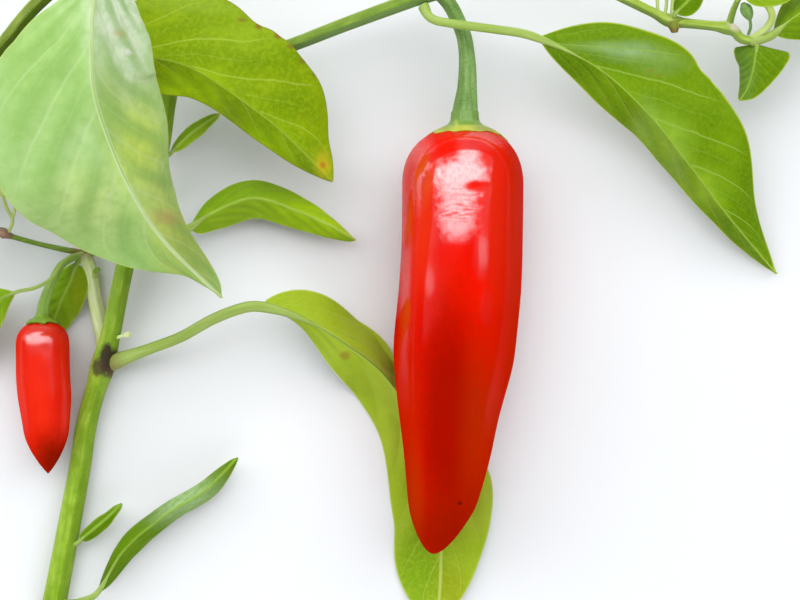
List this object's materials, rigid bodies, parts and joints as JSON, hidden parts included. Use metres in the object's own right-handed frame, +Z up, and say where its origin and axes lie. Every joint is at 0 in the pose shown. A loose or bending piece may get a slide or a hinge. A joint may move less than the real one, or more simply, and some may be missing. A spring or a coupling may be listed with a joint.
{
  "type": "cut chilli pepper branch",
  "caption": "Cut branch of a chilli pepper plant lying on its side, with ripe red fruits on bent green stalks, drooping leaves and thin forking stems.",
  "frame": {"origin": "under the middle of the branch's outer box, on the surface it lies on", "axes": "+X across the branch from the main stem towards the leaf at the far end, +Y from the cut end towards the crown, +Z up from the surface"},
  "size_m": [0.1802, 0.1272, 0.0459],
  "materials": {
    "stem": "smooth green living stem, satin",
    "pale_stem": "smooth whitish green living stem, satin",
    "fruit_stalk": "ribbed green fruit stalk with a paler calyx, satin",
    "fruit_skin": "waxy red fruit skin, glossy",
    "leaf": "green leaf with paler veins, satin",
    "pale_leaf": "light green leaf with paler veins, soft satin"
  },
  "bodies": {
    "root": {"main_stem": "stem", "upper_stem": "stem", "right_branch": "stem", "outer_branch": "stem", "corner_branch": "stem", "left_twig": "stem", "left_branch": "pale_stem", "large_fruit_stalk": "fruit_stalk", "small_fruit_stalk": "fruit_stalk", "large_fruit": "fruit_skin", "small_fruit": "fruit_skin", "front_leaf": "pale_leaf", "middle_leaf": "leaf", "right_leaf": "leaf", "lower_leaf": "leaf", "back_leaf": "leaf", "small_back_leaf": "leaf", "drooping_leaf": "leaf", "left_edge_leaf": "leaf", "left_twig_leaf": "leaf", "hanging_leaf": "leaf", "end_leaf": "leaf", "scar_leaf": "leaf", "corner_tip_leaf": "leaf", "corner_side_leaf": "leaf", "base_leaf": "leaf", "small_base_leaf": "leaf", "end_shoot": "leaf"}
  },
  "joints": []
}
